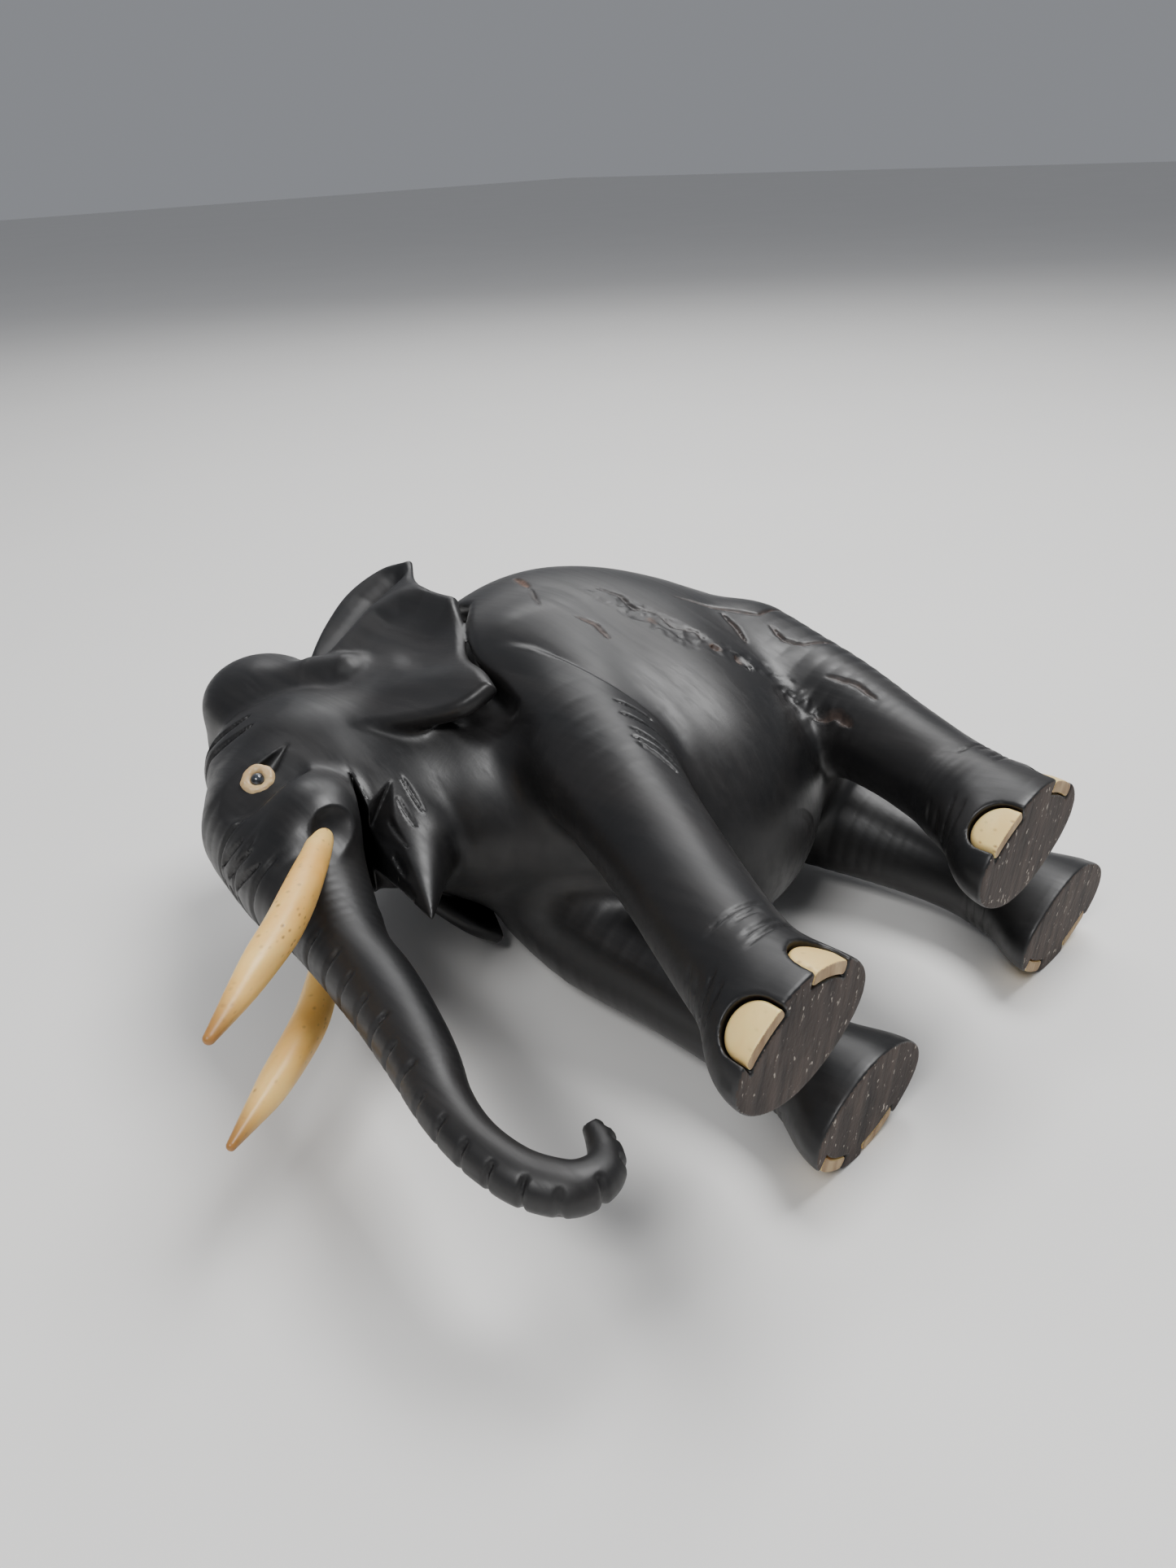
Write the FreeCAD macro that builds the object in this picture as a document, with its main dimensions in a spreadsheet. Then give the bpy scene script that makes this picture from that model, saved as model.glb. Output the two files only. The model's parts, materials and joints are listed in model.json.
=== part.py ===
import FreeCAD, Part
import math
import os
import Sketcher

# Carved wooden elephant, lying on its right flank.
# The body is cut from one block; tusks, eye rings, pupils and toenails are glued in.
# Carving frame: x towards the trunk, y to the animal's left, z from the soles to the back,
# soles at z = 0 and x = 0 at the middle of the left hind foot. Every sub-part is then
# laid over by one placement, so that the flank and the two right feet touch z = 0.

os.makedirs("parts", exist_ok=True)
doc = FreeCAD.newDocument("carved_elephant")
Vector = FreeCAD.Vector
ACROSS = Vector(0, 1, 0)
SIDES = (("left", 1), ("right", -1))

# ---------------------------------------------------------------- driving dimensions
SIZES = (
    ("figure_length", 206, "tusk tips to tail"),
    ("figure_width", 86, "flank to flank"),
    ("figure_height", 201, "soles to crown"),
    ("leg_spacing", 20, "midplane to the middle of each leg"),
    ("fore_left_step", 80, "middle of the left fore foot"),
    ("fore_right_step", 49.5, "middle of the right fore foot"),
    ("hind_left_step", 0, "middle of the left hind foot"),
    ("hind_right_step", -36.5, "middle of the right hind foot"),
    ("fore_foot_length", 37, "fore sole, front to back"),
    ("fore_foot_width", 26.6, "fore sole, across"),
    ("hind_foot_length", 41, "hind sole, front to back"),
    ("hind_foot_width", 27, "hind sole, across"),
    ("ankle_radius", 11.6, "leg above the foot"),
    ("knee_radius", 12.4, "leg half way up"),
    ("shoulder_radius", 16.5, "leg where it runs into the barrel"),
    ("ear_thickness", 6, "ear flap"),
    ("ear_sink", 3.5, "back of the ear behind its middle plane"),
    ("jaw_root_radius", 15, "lower jaw at the throat"),
    ("jaw_tip_radius", 2.6, "lower jaw at the lip"),
    ("tail_radius", 3.2, "tail cord"),
    ("tusk_length", 57, "tusk outside the cheek"),
    ("tusk_root_radius", 3.4, "tusk at the cheek"),
    ("tusk_belly_radius", 4.1, "thickest part of the tusk"),
    ("tusk_neck_radius", 2.9, "tusk near its tip"),
    ("tusk_tip_radius", 1.3, "blunt tip"),
    ("tusk_bow", 3, "sag of the tusk below its chord"),
    ("tusk_dip", 39, "degrees that the tusk falls towards its tip"),
    ("tenon_radius", 2.6, "round tenon of the tusk"),
    ("tenon_length", 9, "tenon in its socket"),
    ("tusk_root_forward", 101.5, "tusk root, x"),
    ("tusk_root_side", 13.8, "tusk root, from the midplane"),
    ("tusk_root_height", 110.5, "tusk root, z"),
    ("eye_forward", 97, "eye, x"),
    ("eye_height", 138.5, "eye, z"),
    ("eye_turn", 20, "degrees that the eye faces forward"),
    ("eye_ring_radius", 4.1, "bone ring"),
    ("eye_ring_thickness", 2.4, "bone ring"),
    ("eye_ring_proud", 0.6, "ring above the wood"),
    ("pupil_radius", 1.5, "dark peg"),
    ("pupil_length", 5, "dark peg"),
    ("pupil_sunk", 0.3, "peg below the ring's face"),
    ("nail_half_width", 5.2, "toenail"),
    ("nail_side_height", 2.8, "straight side of a toenail"),
    ("nail_depth", 3.2, "toenail let into the foot"),
    ("nail_gap", 0.5, "open groove around a toenail's arch"),
)

# Rounded end of the trunk and tail, as shares of its last oval: how far it goes on, how wide it still is.
CAP_REACH = 0.7
CAP_SHARE = 0.6

# Points that a smooth oval is drawn through.
OVAL_POINTS = 12

# Overall sizes that the stations and places below are drawn at.
# The three overall sizes in the sheet stretch them.
DRAWN_LENGTH = 206
DRAWN_WIDTH = 86
DRAWN_HEIGHT = 201

# Barrel of the body: x, middle height, half height, half width.
BARREL = (
    (-51.5, 99, 15, 12),
    (-45, 101, 31, 24),
    (-34, 106, 46, 33),
    (-17, 111, 58, 40),
    (4, 112.5, 62.5, 43),
    (26, 115.5, 59.5, 42),
    (44, 121, 50, 36),
    (59, 126, 38, 27),
    (70, 129, 21, 15),
)
BARREL_ENDS = (-54, 98, 74, 131)

# Trunk: x, z, half depth, half width, measured along its middle line.
TRUNK = (
    (78, 153, 7, 8),
    (87, 147, 14.5, 15),
    (94, 134, 16, 16.5),
    (99.8, 119, 14.2, 14.5),
    (105, 101, 10.2, 10.4),
    (108.6, 87, 8.4, 8.6),
    (112.7, 69, 7.5, 7.7),
    (117.2, 54, 6.5, 6.7),
    (120.6, 44, 5.6, 5.8),
    (122.4, 34, 5.0, 5.2),
    (121.6, 25, 5.0, 5.2),
    (117.6, 18.8, 5.0, 5.0),
    (112.2, 16.8, 4.5, 4.6),
    (108.2, 18.8, 3.6, 3.8),
    (106.2, 23, 2.4, 2.6),
)

# Tail down the rump: x, z.
TAIL = ((-41, 138), (-46.5, 129), (-52.5, 115), (-55, 100), (-53.5, 85), (-49, 71), (-45, 60))

# Ear outline in its own plane: out from the head, up the head.
EAR = (
    (-8, 25), (8, 44), (26, 50), (38, 41),
    (33, 18), (35, 1), (26.5, -22), (24.5, -46),
    (13, -42), (0, -28),
)

EAR_ROOT = (60.5, 21.6, 153.9)
EAR_OUT = (-0.859, 0.46, -0.224)
EAR_UP = (-0.304, -0.107, 0.947)

# Ovals of the head: middle, half sizes, forward lean in degrees.
SKULL = ((71, 0, 145), (30, 23, 36), 24)
CROWN = ((65, 0, 184.5), (16, 18.5, 16), 0)
CHEEK = ((93.5, 11.5, 119.5), (12.5, 8, 15.5), -38)

# Ends of the lower jaw's middle line.
THROAT = (70, 0, 120)
LIP = (88, 0, 92)

# Each leg: side, the size that gives its step, and the x and reach of its hip inside the barrel.
LEGS = {
    "left_fore": (1, "fore_left_step", 24, 24),
    "right_fore": (-1, "fore_right_step", 34, 24),
    "left_hind": (1, "hind_left_step", -24, 18),
    "right_hind": (-1, "hind_right_step", -32, 19),
}

# Places of a foot's two toenails around its edge, in degrees from straight ahead.
FORE_NAIL_TURNS = (48, 108)
HIND_NAIL_TURNS = (52, 122)

# Height of the upright edge of a foot, and how much its oval shrinks along it and across.
FOOT_EDGE_HEIGHT = 5
FOOT_EDGE_SHRINK = (0.95, 0.98)

# Length of the bar that a toenail or its recess is cut from, in toenail depths.
BAR_DEPTHS = 4

# Circles of a tusk: share of its length from the root, and the size of its radius there.
TUSK_STATIONS = (
    (0, "tusk_root_radius"),
    (0.25, "tusk_belly_radius"),
    (0.5, "tusk_belly_radius"),
    (0.78, "tusk_neck_radius"),
    (1, "tusk_tip_radius"),
)

# Search for the tilt that the figure rests at: steepest tilt in degrees, and halvings.
STEEPEST_REST = 20
REST_TRIALS = 12

# Leg middles above the foot: height, share of the lean from the foot to the hip.
LEG_HEIGHTS = (14, 30, 54, 86, 116)
LEG_LEANS = (0.08, 0.2, 0.45, 0.78, 1)


def fill_sheet():
    """Write every size and station to the spreadsheet and give each one its alias."""
    page = doc.addObject("Spreadsheet::Sheet", "sizes")
    rows = list(SIZES)
    for index, (x, middle, height, width) in enumerate(BARREL):
        rows.append(("barrel_x_%d" % index, x, "barrel station"))
        rows.append(("barrel_middle_%d" % index, middle, "barrel station"))
        rows.append(("barrel_half_height_%d" % index, height, "barrel station"))
        rows.append(("barrel_half_width_%d" % index, width, "barrel station"))
    for index, (x, z, depth, width) in enumerate(TRUNK):
        rows.append(("trunk_x_%d" % index, x, "trunk station"))
        rows.append(("trunk_z_%d" % index, z, "trunk station"))
        rows.append(("trunk_half_depth_%d" % index, depth, "trunk station"))
        rows.append(("trunk_half_width_%d" % index, width, "trunk station"))
    for index, (out, up) in enumerate(EAR):
        rows.append(("ear_out_%d" % index, out, "ear outline"))
        rows.append(("ear_up_%d" % index, up, "ear outline"))
    for row, (name, value, note) in enumerate(rows, 1):
        page.set("A%d" % row, name)
        page.set("B%d" % row, str(value))
        page.set("C%d" % row, note)
        page.setAlias("B%d" % row, name)
    doc.recompute()
    return page


sheet = fill_sheet()


def size(name):
    """One number from the spreadsheet."""
    return float(getattr(sheet, name))


LONG = size("figure_length") / DRAWN_LENGTH
WIDE = size("figure_width") / DRAWN_WIDTH
TALL = size("figure_height") / DRAWN_HEIGHT


def spot(x, y, z):
    """A place on the figure, stretched with its three overall sizes."""
    return Vector(x * LONG, y * WIDE, z * TALL)


# ---------------------------------------------------------------- shapes of the block
def oval(middle, first, second):
    """Closed smooth wire round middle, through middle plus first and middle plus second."""
    points = []
    for step in range(OVAL_POINTS):
        turn = 2 * math.pi * step / OVAL_POINTS
        points.append(middle + first * math.cos(turn) + second * math.sin(turn))
    curve = Part.BSplineCurve()
    curve.interpolate(Points=points, PeriodicFlag=True)
    return Part.Wire([curve.toShape()])


def barrel():
    """Torso as one loft from the rump to the chest."""
    rear_x, rear_z, front_x, front_z = BARREL_ENDS
    profiles = [Part.Vertex(spot(rear_x, 0, rear_z))]
    for index in range(len(BARREL)):
        x = size("barrel_x_%d" % index)
        middle = size("barrel_middle_%d" % index)
        height = Vector(0, 0, size("barrel_half_height_%d" % index) * TALL)
        width = ACROSS * size("barrel_half_width_%d" % index) * WIDE
        profiles.append(oval(spot(x, 0, middle), width, height))
    profiles.append(Part.Vertex(spot(front_x, 0, front_z)))
    return Part.makeLoft(profiles, True)


def ellipsoid(middle, radii, lean, side=1):
    """Ellipsoid with its top leaning forward by lean degrees, mirrored when side is -1."""
    x, y, z = middle
    ball = Part.makeSphere(1)
    stretch = FreeCAD.Matrix()
    stretch.scale(radii[0], radii[1], radii[2])
    egg = ball.transformGeometry(stretch)
    egg.rotate(Vector(), ACROSS, lean)
    egg.translate(Vector(x, side * y, z))
    whole = FreeCAD.Matrix()
    whole.scale(LONG, WIDE, TALL)
    return egg.transformGeometry(whole)


def bent_limb(points, depths, widths):
    """Loft along a path in the midplane, with an oval at each point and a rounded end."""
    profiles = []
    last = len(points) - 1
    for index, point in enumerate(points):
        ahead = points[min(index + 1, last)] - points[max(index - 1, 0)]
        ahead.normalize()
        outward = ahead.cross(ACROSS)
        profiles.append(oval(point, ACROSS * widths[index], outward * depths[index]))
    close = ahead * depths[last] * CAP_REACH
    cap = oval(points[last] + close, ACROSS * widths[last] * CAP_SHARE, outward * depths[last] * CAP_SHARE)
    profiles.append(cap)
    return Part.makeLoft(profiles, True)


def trunk():
    """Trunk from inside the face down to the curled tip."""
    count = range(len(TRUNK))
    points = [spot(size("trunk_x_%d" % i), 0, size("trunk_z_%d" % i)) for i in count]
    depths = [size("trunk_half_depth_%d" % i) * min(LONG, TALL) for i in count]
    widths = [size("trunk_half_width_%d" % i) * WIDE for i in count]
    return bent_limb(points, depths, widths)


def tail():
    """Tail cord, let into the rump for most of its length."""
    points = [spot(x, 0, z) for x, z in TAIL]
    radii = [size("tail_radius")] * len(points)
    return bent_limb(points, radii, radii)


def foot_sizes(name):
    """Length and width of a leg's sole."""
    kind = name.split("_")[1]
    return size(kind + "_foot_length"), size(kind + "_foot_width")


def leg(name):
    """One leg: a loft of level ovals from the sole up into the barrel."""
    side, step, hip_x, hip_reach = LEGS[name]
    foot_length, foot_width = foot_sizes(name)
    foot = spot(size(step), side * size("leg_spacing"), 0)
    hip = spot(hip_x, side * hip_reach, 0)
    ankle = size("ankle_radius")
    knee = size("knee_radius")
    shoulder = size("shoulder_radius")
    radii = (ankle, ankle, knee, shoulder, shoulder)
    long_half = Vector(foot_length / 2 * LONG, 0, 0)
    wide_half = ACROSS * foot_width / 2 * WIDE
    long_share, wide_share = FOOT_EDGE_SHRINK
    edge = foot + Vector(0, 0, FOOT_EDGE_HEIGHT * TALL)
    profiles = [oval(foot, long_half, wide_half)]
    profiles.append(oval(edge, long_half * long_share, wide_half * wide_share))
    for height, lean, radius in zip(LEG_HEIGHTS, LEG_LEANS, radii):
        middle = foot + (hip - foot) * lean + Vector(0, 0, height * TALL)
        profiles.append(oval(middle, Vector(radius * LONG, 0, 0), ACROSS * radius * WIDE))
    return Part.makeLoft(profiles, True)


def ear(side):
    """Ear flap with a rounded top lobe and three points."""
    root, out, up = (spot(x, side * y, z) for x, y, z in (EAR_ROOT, EAR_OUT, EAR_UP))
    normal = out.cross(up)
    normal.normalize()
    normal = normal * side
    corners = []
    for index in range(len(EAR)):
        corner = root + out * size("ear_out_%d" % index) + up * size("ear_up_%d" % index)
        corners.append(corner - normal * size("ear_sink"))
    top, lobe, crest, tip_a, notch_a, tip_b, notch_b, tip_c, lower, heel = corners
    edges = [
        Part.Arc(top, (lobe + crest) * 0.5, tip_a).toShape(),
        Part.Arc(tip_a, notch_a, tip_b).toShape(),
        Part.Arc(tip_b, notch_b, tip_c).toShape(),
        Part.Arc(tip_c, lower, heel).toShape(),
        Part.makeLine(heel, top),
    ]
    return Part.Face(Part.Wire(edges)).extrude(normal * size("ear_thickness"))


def jaw():
    """Pointed lower jaw under the mouth."""
    throat = spot(*THROAT)
    lip = spot(*LIP)
    along = lip - throat
    cone = Part.makeCone(size("jaw_root_radius"), size("jaw_tip_radius"), along.Length, throat, along)
    return cone.fuse(Part.makeSphere(size("jaw_tip_radius"), lip))


def block(leg_shapes):
    """Everything that is carved from the one block, before the glued pieces are let in."""
    solid = barrel()
    others = list(leg_shapes.values())
    others.append(ellipsoid(*SKULL))
    others.append(ellipsoid(*CROWN))
    others.append(trunk())
    others.append(jaw())
    others.append(tail())
    for name, side in SIDES:
        others.append(ellipsoid(*CHEEK, side))
        others.append(ear(side))
    for other in others:
        solid = solid.fuse(other)
    return solid


# ---------------------------------------------------------------- glued pieces
def plane_of(body, role):
    """One of a body's own origin planes."""
    for feature in body.Origin.OriginFeatures:
        if feature.Role == role:
            return feature
    raise ValueError(role)


def sketch_on(body, name, role):
    """Sketch attached to an origin plane of its own body."""
    sketch = body.newObject("Sketcher::SketchObject", name)
    sketch.AttachmentSupport = [(plane_of(body, role), "")]
    sketch.MapMode = "FlatFace"
    return sketch


def add_circle(sketch, radius_name, x_expression=""):
    """Circle on the sketch's x axis, its radius bound to the spreadsheet."""
    index = sketch.addGeometry(Part.Circle(Vector(), Vector(0, 0, 1), size(radius_name)), False)
    radius = sketch.addConstraint(Sketcher.Constraint("Radius", index, size(radius_name)))
    sketch.setExpression("Constraints[%d]" % radius, "sizes." + radius_name)
    sketch.addConstraint(Sketcher.Constraint("Coincident", index, 3, -1, 1))
    if x_expression:
        sketch.setExpression(".AttachmentOffset.Base.x", x_expression)
    return index


def new_body(label):
    """Empty PartDesign body with its label."""
    body = doc.addObject("PartDesign::Body", label)
    body.Label = label
    return body


def make_tusk(label):
    """Bone tusk: a loft of circles along a bowed line, and a round tenon behind it."""
    body = new_body(label)
    circles = []
    for index, (share, radius_name) in enumerate(TUSK_STATIONS):
        sketch = sketch_on(body, "%s_circle_%d" % (label, index), "XY_Plane")
        bow = "-4 * sizes.tusk_bow * %g * (1 - %g)" % (share, share)
        add_circle(sketch, radius_name, bow)
        sketch.setExpression(".AttachmentOffset.Base.z", "sizes.tusk_length * %g" % share)
        circles.append(sketch)
    loft = body.newObject("PartDesign::AdditiveLoft", label + "_loft")
    loft.Profile = circles[0]
    loft.Sections = circles[1:]
    doc.recompute()
    tenon = sketch_on(body, label + "_tenon_circle", "XY_Plane")
    add_circle(tenon, "tenon_radius")
    pad = body.newObject("PartDesign::Pad", label + "_tenon")
    pad.Profile = tenon
    pad.setExpression("Length", "sizes.tenon_length")
    pad.Reversed = True
    body.Tip = pad
    return body


def make_eye_ring(label):
    """Flat bone ring with a hole for the pupil."""
    body = new_body(label)
    sketch = sketch_on(body, label + "_circles", "XY_Plane")
    add_circle(sketch, "eye_ring_radius")
    add_circle(sketch, "pupil_radius")
    pad = body.newObject("PartDesign::Pad", label + "_pad")
    pad.Profile = sketch
    pad.setExpression("Length", "sizes.eye_ring_thickness")
    body.Tip = pad
    return body


def make_pupil(label):
    """Dark peg that goes through the ring into the head."""
    body = new_body(label)
    sketch = sketch_on(body, label + "_circle", "XY_Plane")
    add_circle(sketch, "pupil_radius")
    pad = body.newObject("PartDesign::Pad", label + "_pad")
    pad.Profile = sketch
    pad.setExpression("Length", "sizes.pupil_length")
    body.Tip = pad
    return body


def make_nail_blank(label, extra):
    """Long bar with a half-round top, from which a toenail or its recess is cut."""
    body = new_body(label)
    half = "(sizes.nail_half_width + %g * sizes.nail_gap)" % extra
    sketch = sketch_on(body, label + "_arch", "XZ_Plane")
    width = size("nail_half_width") + extra * size("nail_gap")
    side = size("nail_side_height")
    first = sketch.addGeometry(Part.LineSegment(Vector(-width, 0, 0), Vector(width, 0, 0)), False)
    right = sketch.addGeometry(Part.LineSegment(Vector(width, 0, 0), Vector(width, side, 0)), False)
    top = Part.ArcOfCircle(Part.Circle(Vector(0, side, 0), Vector(0, 0, 1), width), 0, math.pi)
    arch = sketch.addGeometry(top, False)
    left = sketch.addGeometry(Part.LineSegment(Vector(-width, side, 0), Vector(-width, 0, 0)), False)
    sketch.addConstraint(Sketcher.Constraint("Coincident", first, 2, right, 1))
    sketch.addConstraint(Sketcher.Constraint("Tangent", right, 2, arch, 1))
    sketch.addConstraint(Sketcher.Constraint("Tangent", arch, 2, left, 1))
    sketch.addConstraint(Sketcher.Constraint("Coincident", left, 2, first, 1))
    sketch.addConstraint(Sketcher.Constraint("Horizontal", first))
    sketch.addConstraint(Sketcher.Constraint("Vertical", right))
    sketch.addConstraint(Sketcher.Constraint("Symmetric", first, 1, first, 2, -1, 1))
    wide = sketch.addConstraint(Sketcher.Constraint("Radius", arch, width))
    sketch.setExpression("Constraints[%d]" % wide, half)
    high = sketch.addConstraint(Sketcher.Constraint("DistanceY", right, 1, right, 2, side))
    sketch.setExpression("Constraints[%d]" % high, "sizes.nail_side_height")
    pad = body.newObject("PartDesign::Pad", label + "_pad")
    pad.Profile = sketch
    pad.setExpression("Length", "sizes.nail_depth * %d" % BAR_DEPTHS)
    body.Tip = pad
    return body


def nails_of(foot_name, leg_shape):
    """The two toenails of a foot and the bars that cut their recesses."""
    side, step, _, _ = LEGS[foot_name]
    foot_length, foot_width = foot_sizes(foot_name)
    turns = FORE_NAIL_TURNS if "fore" in foot_name else HIND_NAIL_TURNS
    support = doc.addObject("Part::Feature", foot_name + "_foot")
    support.Shape = leg_shape
    nails = []
    recesses = []
    for place, turn in zip(("front", "side"), turns):
        angle = math.radians(turn) * side
        half_long = foot_length / 2 * LONG
        half_wide = foot_width / 2 * WIDE
        rim = Vector(half_long * math.cos(angle), half_wide * math.sin(angle), 0)
        outward = Vector(math.cos(angle) / half_long, math.sin(angle) / half_wide, 0)
        outward.normalize()
        middle = spot(size(step), side * size("leg_spacing"), 0) + rim
        inner = middle - outward * size("nail_depth")
        heading = math.degrees(math.atan2(outward.y, outward.x)) + 90
        where = FreeCAD.Placement(inner, FreeCAD.Rotation(Vector(0, 0, 1), heading))
        label = "%s_nail_%s" % (foot_name, place)
        blank = make_nail_blank(label + "_bar", 0)
        blank.Placement = where
        recess = make_nail_blank(label + "_recess", 1)
        recess.Placement = where
        nail = doc.addObject("Part::Common", label)
        nail.Label = label
        nail.Base = support
        nail.Tool = blank
        nails.append(nail)
        recesses.append(recess)
    return nails, recesses


def face_point(solid, start, direction):
    """Where a line from start first meets the solid."""
    line = Part.makeLine(start, start + direction * size("figure_length"))
    hits = [vertex.Point for vertex in line.common(solid).Vertexes]
    return min(hits, key=lambda point: (point - start).Length)


def eye_place(solid, side):
    """Place on the side of the head, local z pointing out of it."""
    turn = math.radians(size("eye_turn"))
    outward = Vector(math.sin(turn), side * math.cos(turn), 0)
    target = spot(size("eye_forward"), 0, size("eye_height"))
    start = target + ACROSS * side * size("figure_width")
    point = face_point(solid, start, ACROSS * -side)
    return point, FreeCAD.Rotation(Vector(0, 0, 1), outward)


def tusk_place(side):
    """Root of a tusk, local z along its chord and local x upward."""
    dip = math.radians(size("tusk_dip"))
    chord = Vector(math.cos(dip), 0, -math.sin(dip))
    upward = Vector(math.sin(dip), 0, math.cos(dip))
    root = spot(size("tusk_root_forward"), side * size("tusk_root_side"), size("tusk_root_height"))
    return FreeCAD.Placement(root, FreeCAD.Rotation(upward, chord.cross(upward), chord, "ZXY"))


def glued_pieces(leg_shapes, solid):
    """Every glued piece in the carving frame, and the shapes that open their seats."""
    pieces = []
    cutters = []
    for name, side in SIDES:
        tusk = make_tusk(name + "_tusk")
        tusk.Placement = tusk_place(side)
        point, turned = eye_place(solid, side)
        outward = turned.multVec(Vector(0, 0, 1))
        sink = size("eye_ring_thickness") - size("eye_ring_proud")
        ring = make_eye_ring(name + "_eye_ring")
        ring.Placement = FreeCAD.Placement(point - outward * sink, turned)
        pupil = make_pupil(name + "_pupil")
        back = size("pupil_length") + size("pupil_sunk") - size("eye_ring_proud")
        pupil.Placement = FreeCAD.Placement(point - outward * back, turned)
        pieces += [tusk, ring, pupil]
        cutters += [tusk, ring, pupil]
    for foot_name, shape in leg_shapes.items():
        nails, bars = nails_of(foot_name, shape)
        pieces += nails
        cutters += bars
    return pieces, cutters


def lowest(shape, turn):
    """Lowest level of a shape once it is turned."""
    turned = shape.copy()
    turned.Placement = FreeCAD.Placement(Vector(), turn)
    return turned.optimalBoundingBox(False, False).ZMin


def resting_turn(flank, leg_shapes):
    """Turn that lays the figure on its right side, flank and right feet on one level."""
    lay_over = FreeCAD.Rotation(Vector(-1, 0, 0), Vector(0, 0, 1), Vector(0, 1, 0), "ZXY")
    feet = leg_shapes["right_fore"].fuse(leg_shapes["right_hind"])
    smallest = 0
    largest = STEEPEST_REST
    for attempt in range(REST_TRIALS):
        middle = (smallest + largest) / 2
        turn = FreeCAD.Rotation(Vector(1, 0, 0), middle).multiply(lay_over)
        if lowest(flank, turn) < lowest(feet, turn):
            smallest = middle
        else:
            largest = middle
    return turn


# ---------------------------------------------------------------- assembly
leg_shapes = {name: leg(name) for name in LEGS}
solid = block(leg_shapes)
pieces, cutters = glued_pieces(leg_shapes, solid)
doc.recompute()

body = doc.addObject("Part::Feature", "carved_body")
body.Label = "carved_body"
for item in cutters:
    solid = solid.cut(item.Shape)
body.Shape = solid
subparts = [body] + pieces

laid = FreeCAD.Placement(Vector(), resting_turn(barrel(), leg_shapes))
box = FreeCAD.BoundBox()
for piece in subparts:
    shape = piece.Shape.copy()
    shape.Placement = laid.multiply(shape.Placement)
    box.add(shape.optimalBoundingBox(False, False))
ground = FreeCAD.Placement(Vector(-box.Center.x, -box.Center.y, -box.ZMin), FreeCAD.Rotation())
for piece in subparts:
    piece.Placement = ground.multiply(laid).multiply(piece.Placement)
doc.recompute()

for item in doc.Objects:
    if "Invalid" in item.State or "Error" in item.State:
        raise RuntimeError("%s: %s" % (item.Name, item.State))
for piece in subparts:
    if piece.Shape.isNull() or not piece.Shape.isValid():
        raise RuntimeError(piece.Label + " has no valid shape")
    if len(piece.Shape.Solids) != 1:
        raise RuntimeError("%s is %d solids" % (piece.Label, len(piece.Shape.Solids)))
    piece.Shape.exportStep("parts/%s.step" % piece.Label)
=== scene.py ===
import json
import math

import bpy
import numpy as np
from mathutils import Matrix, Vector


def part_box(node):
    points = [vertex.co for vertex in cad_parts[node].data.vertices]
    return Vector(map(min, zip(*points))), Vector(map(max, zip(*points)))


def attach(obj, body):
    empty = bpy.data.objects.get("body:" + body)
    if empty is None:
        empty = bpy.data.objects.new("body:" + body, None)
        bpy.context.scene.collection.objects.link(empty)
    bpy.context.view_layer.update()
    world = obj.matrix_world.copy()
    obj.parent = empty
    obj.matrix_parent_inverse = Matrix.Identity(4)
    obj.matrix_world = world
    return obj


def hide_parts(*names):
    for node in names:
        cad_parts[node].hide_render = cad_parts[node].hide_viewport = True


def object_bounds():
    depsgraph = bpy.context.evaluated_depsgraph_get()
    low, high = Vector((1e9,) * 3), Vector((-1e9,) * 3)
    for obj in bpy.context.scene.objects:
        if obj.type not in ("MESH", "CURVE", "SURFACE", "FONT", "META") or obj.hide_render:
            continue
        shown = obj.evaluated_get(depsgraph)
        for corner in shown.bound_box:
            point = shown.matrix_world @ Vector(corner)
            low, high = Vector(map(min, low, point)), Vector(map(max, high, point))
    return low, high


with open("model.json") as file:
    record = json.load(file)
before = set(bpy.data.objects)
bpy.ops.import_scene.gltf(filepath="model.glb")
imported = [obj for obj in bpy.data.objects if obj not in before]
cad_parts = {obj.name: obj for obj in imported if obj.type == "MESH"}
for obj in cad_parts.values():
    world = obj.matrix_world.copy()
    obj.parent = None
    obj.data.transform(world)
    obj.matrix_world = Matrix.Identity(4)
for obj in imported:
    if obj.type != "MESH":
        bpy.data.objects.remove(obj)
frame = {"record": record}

# A carved ebony elephant that lies on its right side, with bone tusks, eyes and toenails let into the wood.
#
# Every piece is carved the same way. Its shape is a distance field: round forms are joined smoothly, cuts
# are taken out of them, and the surface where the distance is zero becomes the piece's mesh.
#
# The carving's own frame is used throughout, in millimetres: x runs forward from the left hind foot, y to
# the elephant's left and z up from the soles. The sole mounts in the record say where that frame lies.

CAD_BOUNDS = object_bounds()
MOUNTS = {mount["name"]: mount for mount in frame["record"]["mounts"]}
FAR = 99.0
SIDES = ((1, "left"), (-1, "right"))

# How fine each kind of piece is carved, in millimetres, and how low its sawn faces lie.
BODY_STEP = 0.55
TUSK_STEP = 0.4
EYE_STEP = 0.16
NAIL_STEP = 0.25
SOLE_HEIGHT = 0.25
NAIL_END_HEIGHT = 0.4


# ---- the carving's frame ----

def carving_frame():
    """The matrix from carving millimetres to the row's metres."""
    hind = Vector(MOUNTS["left_hind_sole"]["pos_m"])
    fore = Vector(MOUNTS["left_fore_sole"]["pos_m"])
    right = Vector(MOUNTS["right_hind_sole"]["pos_m"])
    up = -Vector(MOUNTS["left_hind_sole"]["axis"]).normalized()
    forward = (fore - hind).normalized()
    left = up.cross(forward)
    half_spacing = (hind - right).dot(left) / 2
    origin = hind - left * half_spacing
    axes = Matrix((forward, left, up)).transposed().to_4x4()
    return Matrix.Translation(origin) @ axes @ Matrix.Scale(0.001, 4)


TO_ROW = carving_frame()
TO_CARVING = TO_ROW.inverted()


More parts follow.
